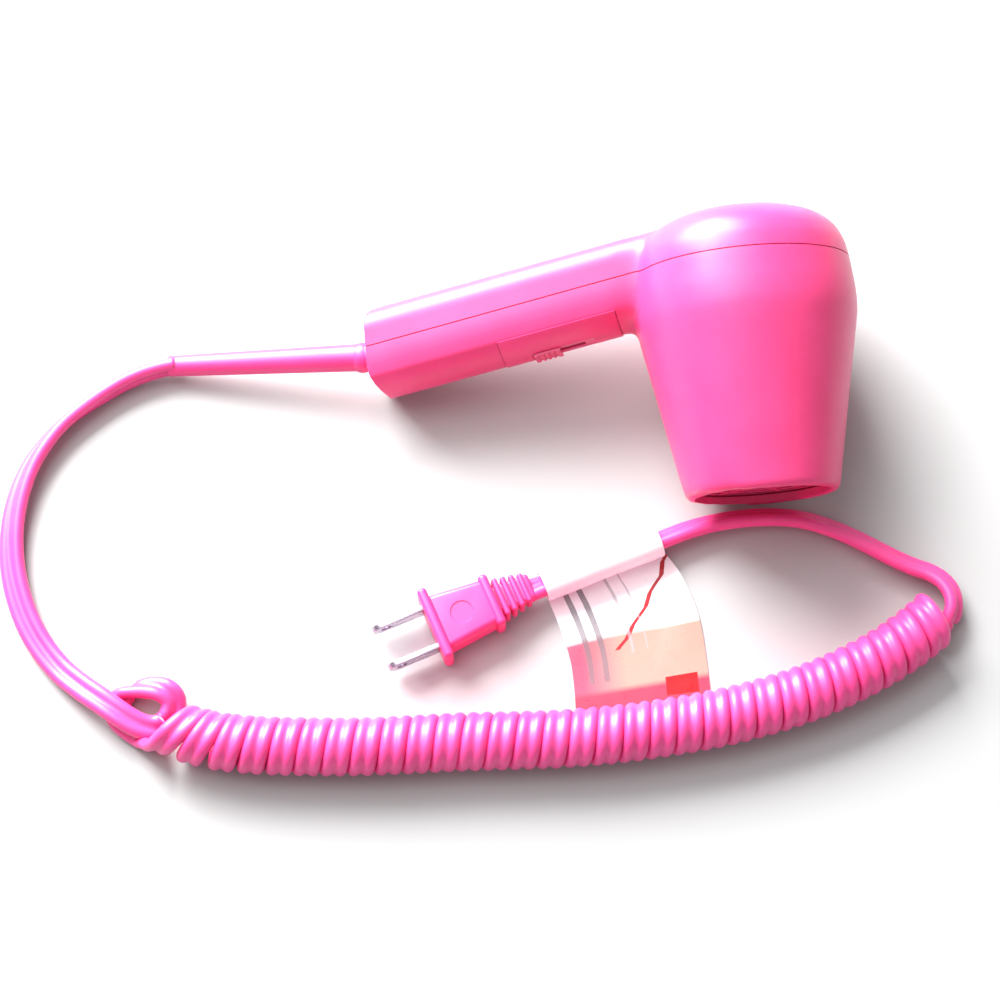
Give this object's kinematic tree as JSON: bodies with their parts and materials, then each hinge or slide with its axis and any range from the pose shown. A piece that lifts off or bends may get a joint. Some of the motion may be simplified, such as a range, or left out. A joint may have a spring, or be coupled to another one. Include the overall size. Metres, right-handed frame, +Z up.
{
  "type": "hair dryer",
  "caption": "Compact hair dryer with a tapering barrel, a straight handle with a slide switch, and a curly flat cord with a two-blade plug, lying on its side.",
  "frame": {"origin": "on the surface the handset lies on, below the middle of the handset without its cord", "axes": "+X from the handle towards the barrel, +Y towards the rear dome, +Z up"},
  "size_m": [0.2958, 0.163, 0.0684],
  "materials": {
    "pink_shell": "glossy moulded plastic",
    "pink_soft": "satin flexible PVC",
    "pink_cord": "satin flexible PVC",
    "steel": "plated steel",
    "plated": "bright nickel plate",
    "brass": "brass strip",
    "copper": "enamelled copper",
    "bronze": "sintered bronze",
    "white_plastic": "heat resistant plastic",
    "black_plastic": "moulded plastic",
    "mica": "mica sheet",
    "ferrite": "sintered ferrite",
    "carbon": "pressed carbon",
    "circuit": "glass fibre board",
    "alloy_wire": "resistance wire",
    "yellow_film": "dipped film",
    "black_wire": "PVC insulation",
    "white_wire": "PVC insulation",
    "red_wire": "PVC insulation",
    "label_film": "printed film, no lettering"
  },
  "bodies": {
    "handset": {"front_shell": "pink_shell", "rear_cover": "pink_shell", "intake_screen": "steel", "outlet_grille": "pink_shell", "fan_duct": "white_plastic", "motor_can": "steel", "motor_end_cap": "black_plastic", "magnet_a": "ferrite", "magnet_b": "ferrite", "bush_front": "bronze", "bush_rear": "bronze", "brush_a": "carbon", "brush_b": "carbon", "rectifier_board": "circuit", "diode_a": "black_plastic", "diode_b": "black_plastic", "diode_c": "black_plastic", "diode_d": "black_plastic", "heater_board_a": "mica", "heater_board_b": "mica", "heater_coil": "alloy_wire", "mica_sleeve": "mica", "thermostat": "steel", "thermal_fuse": "white_plastic", "switch_plate": "pink_shell", "switch_body": "black_plastic", "capacitor": "yellow_film", "cord_clamp": "black_plastic", "clamp_screw_a": "steel", "clamp_screw_b": "steel", "housing_screw_a": "steel", "housing_screw_b": "steel", "inner_lead": "pink_cord", "wire_live": "black_wire", "wire_neutral": "white_wire", "wire_switched": "red_wire", "strain_relief": "pink_soft", "cord_lead": "pink_cord", "cord_curl": "pink_cord", "cord_tail": "pink_cord", "plug_body": "pink_soft", "plug_blade_a": "plated", "plug_blade_b": "plated", "cord_tag": "label_film"},
    "fan": {"fan_impeller": "black_plastic", "motor_shaft": "steel", "armature_core": "steel", "armature_winding": "copper", "commutator": "copper"},
    "slider": {"switch_slider": "pink_shell", "slider_contact": "brass"}
  },
  "joints": [
    {"name": "fan_spin", "type": "hinge", "parent": "handset", "child": "fan", "pos_m": [0.0424, 0.0264, 0.03613], "axis": [0, 0.9814, 0.1921], "continuous": true},
    {"name": "switch_slide", "type": "slide", "parent": "handset", "child": "slider", "axis": [0.973, 0.129, 0.1913], "range_m": [0, 0.008]}
  ]
}
